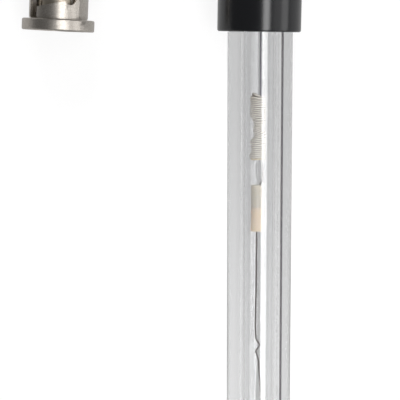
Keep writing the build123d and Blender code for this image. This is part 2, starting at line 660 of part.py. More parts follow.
electrode_pieces = {
    "electrode_cap": electrode_cap(),
    "cap_potting": cap_potting(),
    "cable_boot": cable_boot(),
    "body_tube": body_tube(),
    "ceramic_junction": ceramic_junction(),
    "tube_stopper": tube_stopper(),
    "reference_gel": reference_gel(),
    "reference_wire": reference_wire(),
    "inner_stem": pipe(STEM_OD, stem_bore, neck_low, TUBE_IN_CAP),
    "sensing_bulb": sensing_bulb(),
    "stem_stopper": stem_stopper(),
    "stem_buffer": stem_buffer(),
    "cord_entry": rod(CABLE_DIAMETER, cap_cavity_top - CABLE_IN_POTTING, exit_height - RUN_IN_BOOT),
    "stem_lead": stem_lead(),
    "silver_coil": silver_coil(),
    "wire_seal": Pos(COIL_OFFSET, 0, 0) * rod(SEAL_DIAMETER, seal_low, seal_top) - measuring_wire(),
    "wire_plug": Pos(COIL_OFFSET, 0, 0) * rod(SEAL_DIAMETER, plug_piece_low, seal_low) - measuring_wire(),
    "measuring_wire": measuring_wire(),
}

plug_pieces = {
    "plug_boot": plug_boot(),
    "crimp_ferrule": crimp_ferrule(),
    "plug_body": plug_body(),
    "outer_contact": outer_contact(),
    "plug_insulator": plug_insulator(),
    "contact_pin": contact_pin(),
    "plug_gasket": plug_gasket(),
    "spring_washer": spring_washer(),
    "thrust_washer": thrust_washer(),
    "retaining_ring": retaining_ring(),
    "coupling_collar": coupling_collar(),
}

coil_shape = rounded_ring(TIE_THICKNESS)
tie = (coil_shape - rounded_ring(0)) & tie_room()
cord_pieces = {
    "cord_run": cable_tube("cord_run", run_route()),
    "cord_coil": coil_shape - tie,
    "cord_tie": tie,
    "cord_tail": cable_tube("cord_tail", tail_route()),
}

pieces = {name: laid_electrode * piece for name, piece in electrode_pieces.items()}
pieces |= {name: laid_plug * piece for name, piece in plug_pieces.items()}
pieces |= cord_pieces

os.makedirs("parts", exist_ok=True)
for name, piece in pieces.items():
    piece.label = name
    export_step(piece, f"parts/{name}.step")

print("lean", round(lean, 3), "cap edge y", round(cap_edge_y, 3), "axis height", round(axis_height, 3))
print("plug axis height", round(plug_axis_height, 3), "mouth y", round(plug_mouth_y, 3))
print(len(pieces), "pieces")
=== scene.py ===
# %% [markdown]
# # A pH electrode with its cable and bayonet plug
#
# The object is a laboratory pH electrode: a glass body with a second glass stem inside it, a black moulded cap,
# and a thin coaxial cable that ends in a metal bayonet plug. The CAD model gives every piece its size and place.
# This script gives them their looks: clear glass filled with gel, coated silver wire, satin metal and black
# plastic. It is read from top to bottom, and each step says why it is made the way it is.

# %% Start from the CAD model
import json
import math

import bpy
from mathutils import Matrix, Vector

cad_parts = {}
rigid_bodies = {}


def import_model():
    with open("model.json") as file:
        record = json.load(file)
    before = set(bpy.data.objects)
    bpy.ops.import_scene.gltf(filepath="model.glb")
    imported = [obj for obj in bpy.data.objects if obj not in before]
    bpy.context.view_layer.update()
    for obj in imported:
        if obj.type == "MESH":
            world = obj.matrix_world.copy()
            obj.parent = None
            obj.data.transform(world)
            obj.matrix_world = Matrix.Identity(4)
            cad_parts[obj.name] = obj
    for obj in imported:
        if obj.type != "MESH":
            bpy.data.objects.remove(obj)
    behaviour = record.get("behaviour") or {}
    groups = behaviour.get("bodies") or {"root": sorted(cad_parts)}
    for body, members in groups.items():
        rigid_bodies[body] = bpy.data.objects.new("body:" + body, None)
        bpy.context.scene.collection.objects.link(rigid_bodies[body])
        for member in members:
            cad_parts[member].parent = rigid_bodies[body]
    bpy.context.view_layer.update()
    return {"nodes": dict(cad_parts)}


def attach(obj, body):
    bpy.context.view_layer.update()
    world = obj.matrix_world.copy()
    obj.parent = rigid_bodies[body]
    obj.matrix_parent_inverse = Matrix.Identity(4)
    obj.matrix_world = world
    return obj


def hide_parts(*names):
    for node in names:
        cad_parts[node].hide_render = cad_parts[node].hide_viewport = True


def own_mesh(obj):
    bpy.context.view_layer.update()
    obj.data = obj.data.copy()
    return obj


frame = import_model()
nodes = frame["nodes"]

# %% [markdown]
# ## Places
#
# The electrode lies on its cap's edge and on the tube's far end, so its axis leans by about one degree. Its
# pieces are easiest to model upright, with the cap's front edge at height 0, and are then laid down by one
# matrix. The plug has a matrix of its own. The sizes are the CAD model's, in millimetres.

# %% Sizes and the two matrices that lay the pieces down
MM = 0.001
CAP_R = 7.7
CAP_EDGE_RADIUS = 0.4
TUBE_R = 6.0
TUBE_END_RADIUS = 2.5
TUBE_LENGTH = 110.0
LEAN = math.atan2(CAP_R - TUBE_R, TUBE_LENGTH - TUBE_END_RADIUS + CAP_EDGE_RADIUS)
CAP_EDGE_Y = 31.568
AXIS_HEIGHT = CAP_R * math.cos(LEAN) - CAP_EDGE_RADIUS * math.sin(LEAN)
PLUG_X = -37.25
PLUG_MOUTH_Y = CAP_EDGE_Y + 0.2
PLUG_HEIGHT = 7.17
PLUG_LEAN = math.radians(2.8)

electrode_place = Matrix.Translation(Vector((0, CAP_EDGE_Y, AXIS_HEIGHT)) * MM) @ Matrix.Rotation(
    LEAN - math.pi / 2, 4, "X"
)
plug_place = (
    Matrix.Translation(Vector((PLUG_X, PLUG_MOUTH_Y, PLUG_HEIGHT)) * MM)
    @ Matrix.Rotation(-PLUG_LEAN, 4, "Z")
    @ Matrix.Rotation(-math.pi / 2, 4, "X")
)
print("the axis leans", round(math.degrees(LEAN), 3), "degrees")

# %% [markdown]
# ## Camera
#
# The camera comes first, because everything else is judged through it. It stands straight above the cap's front
# edge and looks a little down the tube, so the tube's far part is smaller in the picture than its near part. The
# distance and the angle of view were worked out from how much the tube narrows and how wide the cap is.

# %% Camera above the cap's edge
CAMERA_DISTANCE = 234.8
CAMERA_X = -11.0
AIM_BELOW_EDGE = 31.2
AIM_X = -11.1
CAMERA_ROLL = math.radians(0.05)
CAMERA_ANGLE = math.radians(17.96)

eye = electrode_place @ (Vector((CAMERA_X, -CAMERA_DISTANCE, 0)) * MM)
aim = electrode_place @ (Vector((AIM_X, 0, -AIM_BELOW_EDGE)) * MM)
tube_axis = (electrode_place.to_3x3() @ Vector((0, 0, 1))).normalized()
forward = (aim - eye).normalized()
up = (tube_axis - forward * tube_axis.dot(forward)).normalized()
up = Matrix.Rotation(CAMERA_ROLL, 3, forward) @ up
side = forward.cross(up)

bpy.ops.object.camera_add(location=eye)
camera = bpy.context.object
camera.name = "camera"
camera.rotation_euler = Matrix((side, up, -forward)).transposed().to_euler()
camera.data.angle = CAMERA_ANGLE
camera.data.clip_start = 0.01
bpy.context.scene.camera = camera
print("the camera is", round(eye.z, 3), "m above the floor")

# %% [markdown]
# ## Hands for modelling
#
# Nearly every piece is round, as if turned on a lathe. On a lathe the outline is cut ring by ring, and the same
# can be done in edit mode: a circle is added, and it is extruded and scaled from each outline point to the next.
# A ring that shrinks to nothing is merged into one point, which closes a rounded end without a hole.

# %% Select one thing, lay a piece down, and turn a piece ring by ring
SEGMENTS = 128


def only(obj):
    """Selects one object and nothing else."""
    bpy.ops.object.select_all(action="DESELECT")
    obj.select_set(True)
    bpy.context.view_layer.objects.active = obj


def pick_points(obj, wanted):
    """In edit mode, selects the points whose place passes a test."""
    bpy.ops.mesh.select_all(action="DESELECT")
    bpy.ops.object.mode_set(mode="OBJECT")
    for v in obj.data.vertices:
        v.select = wanted(v)
    bpy.ops.object.mode_set(mode="EDIT")


def settle(obj, place, angle=30):
    """Puts the piece's place into its mesh, turns its faces outwards and smooths its round sides."""
    only(obj)
    bpy.ops.object.mode_set(mode="EDIT")
    bpy.ops.mesh.select_all(action="SELECT")
    bpy.ops.mesh.remove_doubles(threshold=1e-7)
    bpy.ops.mesh.normals_make_consistent(inside=False)
    bpy.ops.object.mode_set(mode="OBJECT")
    obj.matrix_world = place @ obj.matrix_world
    bpy.ops.object.transform_apply(location=True, rotation=True, scale=True)
    bpy.ops.object.shade_smooth_by_angle(angle=math.radians(angle))
    return obj


def turned(name, outline, place=None, closed=False, segments=SEGMENTS, angle=30):
    """A round piece from (radius, height) points in millimetres. A radius of 0 at an end is a pole."""
    start = 1 if outline[0][0] == 0 else 0
    radius, height = outline[start]
    bpy.ops.object.select_all(action="DESELECT")
    bpy.ops.mesh.primitive_circle_add(vertices=segments, radius=radius * MM, location=(0, 0, height * MM))
    obj = bpy.context.object
    obj.name = name
    bpy.ops.object.transform_apply(location=True, rotation=False, scale=False)
    bpy.ops.object.mode_set(mode="EDIT")
    for new_radius, new_height in outline[start + 1 :]:
        rise = (0, 0, (new_height - height) * MM)
        bpy.ops.mesh.extrude_region_move(TRANSFORM_OT_translate={"value": rise})
        if new_radius == 0:
            bpy.ops.mesh.merge(type="COLLAPSE")
        else:
            grow = new_radius / radius
            bpy.ops.transform.resize(value=(grow, grow, 1), center_override=(0, 0, new_height * MM))
        radius, height = new_radius, new_height
    count = len(outline) - start
    if start:
        pick_points(obj, lambda v: v.index < segments)
        rise = (0, 0, (outline[0][1] - outline[1][1]) * MM)
        bpy.ops.mesh.extrude_region_move(TRANSFORM_OT_translate={"value": rise})
        bpy.ops.mesh.merge(type="COLLAPSE")
    if closed:
        last = segments * (count - 1)
        pick_points(obj, lambda v: v.index < segments or v.index >= last)
        bpy.ops.mesh.bridge_edge_loops()
    bpy.ops.object.mode_set(mode="OBJECT")
    return settle(obj, place or electrode_place, angle)


def arc(centre, radius, start, end, steps):
    """Points of an arc in an outline: centre as (radius, height), angles in degrees from outwards to up."""
    angles = [math.radians(start + (end - start) * i / steps) for i in range(steps + 1)]
    return [(centre[0] + radius * math.cos(a), centre[1] + radius * math.sin(a)) for a in angles]


print("modelling helpers ready")

# %% [markdown]
# ## Shader maths
#
# A finish is a small graph of nodes. Written as Python, the graph stays readable: one class wraps an output
# socket, so that sums and products of values add Math nodes, and one method adds any other node. Its settings
# are given first, then the values or links of its sockets.


# %% One class for sockets and one for a finish
class Wire:
    """An output socket that can be added, multiplied and subtracted like a number."""

    def __init__(self, finish, socket):
        self.finish, self.socket = finish, socket

    def maths(self, operation, a, b):
        return self.finish.node("ShaderNodeMath", {"operation": operation}, {0: a, 1: b})

    def __add__(self, other):
        return self.maths("ADD", self, other)

    def __sub__(self, other):
        return self.maths("SUBTRACT", self, other)

    def __rsub__(self, other):
        return self.maths("SUBTRACT", other, self)

    def __mul__(self, other):
        return self.maths("MULTIPLY", self, other)

    __radd__ = __add__
    __rmul__ = __mul__


class Finish:
    """A material and the shorthand that adds its nodes."""

    def __init__(self, name):
        self.material = bpy.data.materials.new(name)
        self.material.use_nodes = True
        self.tree = self.material.node_tree
        self.shader = self.tree.nodes["Principled BSDF"]
        self.output = self.tree.nodes["Material Output"]

    def set(self, **values):
        """Sets or links the shader's own sockets, with _ for a space in their names."""
        for name, value in values.items():
            self.feed(self.shader.inputs[name.replace("_", " ")], value)
        return self

    def feed(self, socket, value):
        if isinstance(value, Wire):
            self.tree.links.new(value.socket, socket)
        elif socket.type == "RGBA" and len(value) == 3:
            socket.default_value = (*value, 1)
        else:
            socket.default_value = value

    def node(self, kind, settings=None, inputs=None, out=0):
        """Any node: its settings first, then its sockets. Gives one of its outputs."""
        node = self.tree.nodes.new(kind)
        for name, value in (settings or {}).items():
            if name == "stops":
                self.stops(node.color_ramp, value)
            else:
                setattr(node, name, value)
        for key, value in (inputs or {}).items():
            self.feed(node.inputs[key], value)
        return Wire(self, node.outputs[out])

    def stops(self, ramp, stops):
        while len(ramp.elements) < len(stops):
            ramp.elements.new(0.5)
        for element, (place, shade) in zip(ramp.elements, stops):
            element.position = place
            element.color = (*shade, 1) if isinstance(shade, tuple) else (shade, shade, shade, 1)

    def noise(self, size_mm, detail=3.0, rough=0.5, stretch=(1, 1, 1)):
        """Noise on the piece's own coordinates, with grains of about the given size."""
        place = self.node("ShaderNodeTexCoord", out="Object")
        place = self.node("ShaderNodeMapping", {}, {"Vector": place, "Scale": stretch})
        values = {"Vector": place, "Scale": 1 / (size_mm * MM), "Detail": detail, "Roughness": rough}
        return self.node("ShaderNodeTexNoise", {}, values)

    def bump(self, height, distance_mm, strength=1.0):
        values = {"Height": height, "Distance": distance_mm * MM, "Strength": strength}
        return self.node("ShaderNodeBump", {}, values)

    def between(self, factor, first, second):
        """A colour between two colours."""
        settings = {"data_type": "RGBA"}
        return self.node("ShaderNodeMix", settings, {0: factor, 6: first, 7: second}, out=2)


def shade(value):
    """A grey or a colour as seen on a screen, 0 to 255, as the linear numbers that a shader takes."""
    values = value if isinstance(value, tuple) else (value,) * 3
    linear = [v / 255 for v in values]
    return tuple(v / 12.92 if v <= 0.04045 else ((v + 0.055) / 1.055) ** 2.4 for v in linear)


def dress(obj, finish, body="electrode", replaces=()):
    """Gives a piece its finish, its body and the CAD pieces that it stands for."""
    obj.data.materials.clear()
    obj.data.materials.append(finish.material)
    if obj.name not in nodes:
        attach(obj, body)
        if replaces:
            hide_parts(*replaces)
    return obj


print("shader helpers ready")

# %% [markdown]
# ## Cable
#
# The cable is a thin coaxial one, three millimetres across and about a metre long. It leaves the cap's rubber
# boot, comes down to the floor, lies in a flat coil of two layers, as it comes out of its bag, and runs back
# beside the electrode to the plug. One NURBS curve with the route's points is the whole cable: it bends as
# softly as real cable does. The coil spirals inwards on the floor and outwards again on top of itself.

# %% The cable's route
CABLE_R = 1.5
COIL_CENTRE = (-18.0, 96.0)
COIL_R = 24.5
COIL_PITCH = 3.08
COIL_TURNS = 7.5
POINTS_PER_TURN = 16
LAYER_HEIGHTS = (1.52, 4.56)
CLIMB = 100.0
TIE_LIFT = 0.7
TIE_LIFT_SPREAD = 30.0
BOOT_END = 56.0
RUN_POINTS = [(0.7, 70.0, 5.4), (2.3, 78.5, 1.5), (4.6, 87.0, 0.02)]
TAIL_POINTS = [
    (-41.1, 87.5, 2.6),
    (-38.9, 79.0, 0.4),
    (-37.2, 70.5, 0.02),
    (-36.1, 62.0, 0.4),
    (-35.4, 53.5, 3.7),
]


def coil_point(turned_by):
    """A point of the flat coil after so many degrees, spiralling in below and out on top."""
    middle = COIL_TURNS * 180
    radius = COIL_R - COIL_PITCH * (middle - abs(turned_by - middle)) / 360
    share = min(max((turned_by - middle) / (2 * CLIMB) + 0.5, 0), 1)
    share = share * share * (3 - 2 * share)
    low, high = LAYER_HEIGHTS
    from_tie = (turned_by % 360 - 90) / TIE_LIFT_SPREAD
    height = low + (high - low) * share + TIE_LIFT * math.exp(-(from_tie**2))
    angle = math.radians(turned_by)
    return (
        COIL_CENTRE[0] + radius * math.cos(angle),
        CAP_EDGE_Y + COIL_CENTRE[1] + radius * math.sin(angle),
        height,
    )


def free_points(points):
    return [Vector((x, CAP_EDGE_Y + y, CABLE_R + clear)) * MM for x, y, clear in points]


cable_route = [electrode_place @ (Vector((0, 0, h)) * MM) for h in (44.0, 52.0, 61.0)]
cable_route += free_points(RUN_POINTS)
steps = round(COIL_TURNS * POINTS_PER_TURN)
cable_route += [Vector(coil_point(COIL_TURNS * 360 * i / steps)) * MM for i in range(steps + 1)]
cable_route += free_points(TAIL_POINTS)
cable_route += [plug_place @ (Vector((0, 0, h)) * MM) for h in (44.2, 34.0, 25.0)]
print(len(cable_route), "points in the cable's route")

# %% The cable itself
cable_curve = bpy.data.curves.new("cable", "CURVE")
cable_curve.dimensions = "3D"
spline = cable_curve.splines.new("NURBS")
spline.points.add(len(cable_route) - 1)
for point, place in zip(spline.points, cable_route):
    point.co = (*place, 1)
spline.order_u = 3
spline.use_endpoint_u = True
spline.resolution_u = 4
cable_curve.bevel_depth = CABLE_R * MM
cable_curve.bevel_resolution = 5
cable_curve.use_fill_caps = True
cable = bpy.data.objects.new("cable", cable_curve)
bpy.context.collection.objects.link(cable)

jacket = Finish("cable_jacket")
grain = jacket.noise(0.5, detail=4)
jacket.set(Base_Color=shade(30), Roughness=0.38 + grain * 0.08, Normal=jacket.bump(grain, 0.01))
cable_curve.materials.append(jacket.material)
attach(cable, "electrode")
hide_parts("cord_entry", "cord_run", "cord_coil", "cord_tail")
print("cable made")

# %% [markdown]
# ## Tie
#
# A soft black strap holds the turns together on the far side of the coil. It is a band round the bundle: a box
# of the bundle's section with bevelled corners, opened at both sides, and given a thickness. A copy of its top
# face, moved up and made shorter, becomes the loose end that is pressed flat on top. In edit mode, faces that are
# picked by code only stay picked on their own in face mode, and edges in edge mode: in point mode, two opposite
# faces hold all the points of the box, so every face would be picked.

# %% The strap round the turns
TIE_WIDTH = 5.0
TIE_INSIDE = 12.1
TIE_OUTSIDE = 25.15
TIE_LOW = 0.33
TIE_TOP = 7.02
TIE_THICKNESS = 0.6
TIE_CORNER = 1.5


def pick_faces(obj, wanted):
    """In edit mode, selects the faces that pass a test, and only those."""
    bpy.ops.mesh.select_mode(type="FACE")
    bpy.ops.mesh.select_all(action="DESELECT")
    bpy.ops.object.mode_set(mode="OBJECT")
    for face in obj.data.polygons:
        face.select = wanted(face)
    bpy.ops.object.mode_set(mode="EDIT")


middle = Vector((COIL_CENTRE[0], CAP_EDGE_Y + COIL_CENTRE[1] + (TIE_INSIDE + TIE_OUTSIDE) / 2, (TIE_LOW + TIE_TOP) / 2))
bpy.ops.object.select_all(action="DESELECT")
bpy.ops.mesh.primitive_cube_add(size=1, location=middle * MM)
strap = bpy.context.object
strap.name = "tie_strap"
strap.scale = Vector((TIE_WIDTH, TIE_OUTSIDE - TIE_INSIDE, TIE_TOP - TIE_LOW)) * MM
bpy.ops.object.transform_apply(location=True, rotation=False, scale=True)
bpy.ops.object.mode_set(mode="EDIT")
pick_faces(strap, lambda face: abs(face.normal.x) > 0.9)
bpy.ops.mesh.delete(type="ONLY_FACE")
bpy.ops.mesh.select_mode(type="EDGE")
bpy.ops.mesh.select_all(action="DESELECT")
bpy.ops.object.mode_set(mode="OBJECT")
for edge in strap.data.edges:
    ends = [strap.data.vertices[i].co for i in edge.vertices]
    edge.select = abs(ends[0].x - ends[1].x) > 0.001
bpy.ops.object.mode_set(mode="EDIT")
bpy.ops.mesh.bevel(offset=TIE_CORNER * MM, segments=6)
pick_faces(strap, lambda face: face.normal.z > 0.99)
bpy.ops.mesh.duplicate_move(TRANSFORM_OT_translate={"value": (0, -1.2 * MM, TIE_THICKNESS * MM)})
bpy.ops.transform.resize(value=(0.96, 0.72, 1), center_override=(middle + Vector((0, -1.2, 0))) * MM)
bpy.ops.mesh.select_mode(type="VERT")
bpy.ops.object.mode_set(mode="OBJECT")
wall = strap.modifiers.new("wall", "SOLIDIFY")
wall.thickness = TIE_THICKNESS * MM
wall.offset = 0
bpy.ops.object.modifier_apply(modifier="wall")
settle(strap, Matrix.Identity(4))

fabric = Finish("tie_fabric")
weave = fabric.noise(0.25, detail=2)
fabric.set(Base_Color=shade(34), Roughness=0.85, Normal=fabric.bump(weave, 0.08))
dress(strap, fabric, replaces=["cord_tie"])
print("strap made:", len(strap.data.polygons), "faces")

# %% [markdown]
# ## Glass, gel and liquid
#
# Light bends where it crosses from one clear thing into another. A thin gap of air between the glass and the gel
# would act as a mirror, so the gel and the liquid are made a hair larger than the space they fill: their skin
# lies inside the glass, and a ray leaves the pair just as it would leave real glass that gel wets. The tube's
# outer skin has a grey tint, and the inner skins have none, so the tube is evenly grey from edge to edge. The
# tint is a little deeper near the cap: that is painted shade. The light of the lamps, and light that some dull
# surface has scattered, goes straight through the clear walls. That lights what is inside, and no random bright
# specks of focused light are left.

# %% Clear finishes
WET_OVERLAP = 0.012


def clear(name, tint, ior):
    """A clear finish that refracts, and lets lamps and scattered light straight through."""
    finish = Finish(name)
    finish.set(Transmission_Weight=1.0, IOR=ior, Roughness=0.0)
    finish.set(Base_Color=tint(finish) if callable(tint) else tint)
    shadow_ray = finish.node("ShaderNodeLightPath", out="Is Shadow Ray")
    scattered_ray = finish.node("ShaderNodeLightPath", out="Is Diffuse Ray")
    through = finish.node("ShaderNodeBsdfTransparent", {}, {"Color": (1.0, 1.0, 1.0)})
    surface = Wire(finish, finish.shader.outputs[0])
    mixed = finish.node("ShaderNodeMixShader", {}, {0: shadow_ray + scattered_ray, 1: surface, 2: through})
    finish.feed(finish.output.inputs["Surface"], mixed)
    return finish


def cap_shade_tint(finish):
    """Painted shade: grey that is deeper near the cap and lighter down the tube."""
    place = finish.node("ShaderNodeTexCoord", out="Object")
    along = finish.node("ShaderNodeSeparateXYZ", {}, {0: place}, out="Y")
    down = finish.node(
        "ShaderNodeMapRange",
        {"interpolation_type": "SMOOTHSTEP"},
        {"Value": along, "From Min": CAP_EDGE_Y * MM, "From Max": (CAP_EDGE_Y - 75) * MM},
    )
    return finish.between(down, (0.745, 0.748, 0.752), (0.985, 0.988, 0.992))


def streaked(finish):
    """Nearly clear, with faint lines along the length, as drawn tube has."""
    lines = finish.noise(0.45, detail=2, stretch=(1, 0.003, 1))
    lines = finish.node("ShaderNodeMapRange", {}, {"Value": lines, "From Min": 0.35, "From Max": 0.65})
    return finish.between(lines, (0.92, 0.92, 0.925), (1.0, 1.0, 1.0))


tinted_glass = clear("tube_outer_skin", cap_shade_tint, 1.5)
plain_glass = clear("clear_glass", (1.0, 1.0, 1.0), 1.5)
drawn_glass = clear("drawn_glass", streaked, 1.5)
gel_finish = clear("clear_gel", (1.0, 1.0, 1.0), 1.37)
liquid = clear("clear_liquid", (1.0, 1.0, 1.0), 1.34)
print("clear finishes ready")

# %% The glass body
TUBE_BORE_R = 5.0
TUBE_SEAT_R = 5.8
TUBE_IN_CAP = 14.0
STEM_R = 2.65
STEM_BORE_R = 1.95
TUBE_WALL = TUBE_R - TUBE_BORE_R
inner_corner = TUBE_END_RADIUS - TUBE_WALL

outline = [(STEM_R - 0.02, -TUBE_LENGTH)]
outline += arc((TUBE_R - TUBE_END_RADIUS, TUBE_END_RADIUS - TUBE_LENGTH), TUBE_END_RADIUS, -90, 0, 14)
outline += [(TUBE_R, -60.0), (TUBE_R, -0.02), (TUBE_SEAT_R, 0), (TUBE_SEAT_R, TUBE_IN_CAP)]
outline += [(TUBE_BORE_R, TUBE_IN_CAP)]
outline += arc((TUBE_R - TUBE_END_RADIUS, TUBE_END_RADIUS - TUBE_LENGTH), inner_corner, 0, -90, 10)
outline += [(STEM_R - 0.02, TUBE_WALL - TUBE_LENGTH)]
tube = turned("glass_body", outline, closed=True, segments=192)
dress(tube, plain_glass, replaces=["body_tube"])
tube.data.materials.append(tinted_glass.material)
lying = electrode_place.inverted()
for face in tube.data.polygons:
    spot = lying @ face.center
    across = Vector((spot.x, spot.y, 0))
    outwards = (lying.to_3x3() @ face.normal).dot(across) > 0
    low = spot.z < (TUBE_WALL / 2 - TUBE_LENGTH) * MM
    if (across.length > (TUBE_SEAT_R + 0.1) * MM and outwards) or low:
        face.material_index = 1
print("glass body:", len(tube.data.polygons), "faces")

# %% The gel, the stem, the bulb and the liquid
STOPPER_LOW = 9.0
BULB_R = 4.7
BULB_WALL = 0.4
NECK_LOW = -TUBE_LENGTH - 0.6
BULB_CENTRE = NECK_LOW - math.sqrt(BULB_R**2 - STEM_R**2)

gel_r = TUBE_BORE_R + WET_OVERLAP
gel_low = TUBE_WALL - TUBE_LENGTH - WET_OVERLAP
gel_outline = [(STEM_R - WET_OVERLAP, gel_low)]
gel_outline += arc((gel_r - inner_corner, gel_low + inner_corner), inner_corner, -90, 0, 8)
gel_outline += [(gel_r, -60.0), (gel_r, STOPPER_LOW), (STEM_R - WET_OVERLAP, STOPPER_LOW)]
gel = turned("gel_fill", gel_outline, closed=True, segments=192)
dress(gel, gel_finish, replaces=["reference_gel"])

stem_outline = [(STEM_BORE_R, NECK_LOW), (STEM_R, NECK_LOW), (STEM_R, TUBE_IN_CAP), (STEM_BORE_R, TUBE_IN_CAP)]
stem = turned("glass_stem", stem_outline, closed=True, segments=160)
dress(stem, drawn_glass, replaces=["inner_stem"])

outer_angle = math.degrees(math.acos(STEM_R / BULB_R))
inner_r = BULB_R - BULB_WALL
inner_angle = math.degrees(math.acos(STEM_BORE_R / inner_r))
bulb_outline = arc((0, BULB_CENTRE), BULB_R, -90, outer_angle, 40)[1:]
bulb_outline = [(0, BULB_CENTRE - BULB_R)] + bulb_outline + [(STEM_R, NECK_LOW + 0.05)]
bulb_outline += [(STEM_BORE_R, NECK_LOW + 0.05)] + arc((0, BULB_CENTRE), inner_r, inner_angle, -90, 40)[:-1]
bulb_outline += [(0, BULB_CENTRE - inner_r)]
bulb = turned("glass_bulb", bulb_outline, segments=160)
dress(bulb, plain_glass, replaces=["sensing_bulb"])

fill_r = inner_r + WET_OVERLAP
fill_angle = math.degrees(math.acos((STEM_BORE_R + WET_OVERLAP) / fill_r))
fill_outline = [(0, BULB_CENTRE - fill_r)] + arc((0, BULB_CENTRE), fill_r, -90, fill_angle, 40)[1:]
fill_outline += [(STEM_BORE_R + WET_OVERLAP, -60.0), (STEM_BORE_R + WET_OVERLAP, STOPPER_LOW), (0, STOPPER_LOW)]
fill = turned("liquid_fill", fill_outline, segments=160)
dress(fill, liquid, replaces=["stem_buffer"])
print("gel, stem, bulb and liquid made")

# %% [markdown]
# ## Silver coil
#
# The measuring half-cell ends in a close winding of silver wire with a matte, warm grey coat. One small circle
# and a Screw modifier wind it. Real windings are never even: this one has a waist, a few turns that lean, and
# loose first and last turns, which are pulled out of line with proportional editing. The coat's colour has
# painted shade: it is darker on the winding's left side and in the grooves between the turns.

# %% The winding
WIRE_R = 0.14
WINDING_R = 1.1
WINDING_X = -0.22
WINDING_TURNS = 33
WINDING_TOP = -11.5
WINDING_PITCH = 0.37
WINDING_STEPS = 28
winding_low = WINDING_TOP - WINDING_TURNS * WINDING_PITCH

bpy.ops.object.select_all(action="DESELECT")
bpy.ops.mesh.primitive_circle_add(
    vertices=8,
    radius=WIRE_R * MM,
    rotation=(math.pi / 2, 0, 0),
    location=Vector((WINDING_R - WIRE_R, 0, winding_low + WIRE_R)) * MM,
)
winding = bpy.context.object
winding.name = "silver_winding"
bpy.ops.object.transform_apply(location=True, rotation=True, scale=False)
screw = winding.modifiers.new("turns", "SCREW")
screw.axis = "Z"
screw.screw_offset = WINDING_PITCH * MM * (WINDING_TURNS - 0.8) / WINDING_TURNS
screw.iterations = WINDING_TURNS
screw.steps = screw.render_steps = WINDING_STEPS
bpy.ops.object.modifier_apply(modifier="turns")
bpy.ops.object.mode_set(mode="EDIT")
bpy.ops.mesh.select_all(action="DESELECT")
bpy.ops.mesh.select_mode(type="EDGE")
bpy.ops.mesh.select_non_manifold()
bpy.ops.mesh.edge_face_add()
bpy.ops.mesh.select_mode(type="VERT")
bpy.ops.object.mode_set(mode="OBJECT")
# How far out each point lies on the wire. The finish paints shade into the grooves from it.
crest = winding.data.attributes.new("crest", "FLOAT", "POINT")
for v, value in zip(winding.data.vertices, crest.data):
    value.value = (Vector(v.co.xy).length / MM - WINDING_R + 2 * WIRE_R) / (2 * WIRE_R)
bpy.ops.object.mode_set(mode="EDIT")


def pull(share, spread, squeeze=1.0, shift=0.0, tilt=0.0, lift=0.0):
    """Squeezes, moves and tilts the winding round one height, less and less away from it."""
    height = (winding_low + share * (WINDING_TOP - winding_low)) * MM
    here = {"center_override": (0, 0, height)}
    soft = {"use_proportional_edit": True, "proportional_edit_falloff": "SMOOTH", "proportional_size": spread * MM}
    pick_points(winding, lambda v: abs(v.co.z - height) < WINDING_PITCH * MM / 2)
    bpy.ops.transform.resize(value=(squeeze, squeeze, 1), **here, **soft)
    bpy.ops.transform.translate(value=Vector((shift, 0, lift)) * MM, **soft)
    if tilt:
        bpy.ops.transform.rotate(value=math.radians(tilt), orient_axis="Y", **here, **soft)


# The waist, and the leaning turns under it
pull(0.51, 2.4, squeeze=0.74, shift=0.22)
pull(0.43, 1.3, tilt=28, lift=0.05)
pull(0.40, 1.6, squeeze=0.94, shift=0.05)
# The fuller upper half and the narrower lower end
pull(0.72, 1.6, squeeze=1.05, shift=-0.03)
pull(0.18, 1.0, squeeze=0.93, shift=0.05)
pull(0.07, 0.7, squeeze=1.07, shift=-0.06)
# Single turns that lean or stand apart
for share, tilt, lift in ((0.90, 5, 0.05), (0.80, -4, -0.05), (0.66, 4, 0.06), (0.58, -3, -0.04), (0.27, 5, 0.05)):
    pull(share, 0.45, tilt=tilt, lift=lift)
# The loose first turn, and the last one drawn in
pull(0.97, 1.2, tilt=-10)
pull(1.00, 0.5, squeeze=0.9, shift=0.10, tilt=-24, lift=0.12)
pull(0.00, 0.5, squeeze=0.78, shift=0.12, tilt=7)
bpy.ops.object.mode_set(mode="OBJECT")
settle(winding, electrode_place @ Matrix.Translation(Vector((WINDING_X, 0, 0)) * MM), angle=60)

coated_and_shaded = Finish("coated_silver")
blotch = coated_and_shaded.noise(0.9, detail=3)
coat_and_shade = coated_and_shaded.between(blotch, shade((244, 238, 228)), shade((252, 249, 242)))
place = coated_and_shaded.node("ShaderNodeTexCoord", out="Object")
across = coated_and_shaded.node("ShaderNodeSeparateXYZ", {}, {0: place}, out="X") + (blotch - 0.5) * 0.0008
height = coated_and_shaded.node("ShaderNodeSeparateXYZ", {}, {0: place}, out="Y")
# Painted shade: the winding's left side is darker.
left_end = (WINDING_X - WINDING_R) * MM
left_side_shade = coated_and_shaded.node(
    "ShaderNodeMapRange",
    {"interpolation_type": "SMOOTHSTEP"},
    {"Value": across, "From Min": left_end + 0.0010, "From Max": left_end + 0.0003},
)
coat_and_shade = coated_and_shaded.between(left_side_shade, coat_and_shade, shade((222, 215, 204)))
low_end = (CAP_EDGE_Y + winding_low) * MM
last_turn = coated_and_shaded.node(
    "ShaderNodeMapRange", {}, {"Value": height, "From Min": low_end + 0.0006, "From Max": low_end + 0.0002}
)
coat_and_shade = coated_and_shaded.between(last_turn, coat_and_shade, shade((236, 214, 160)))
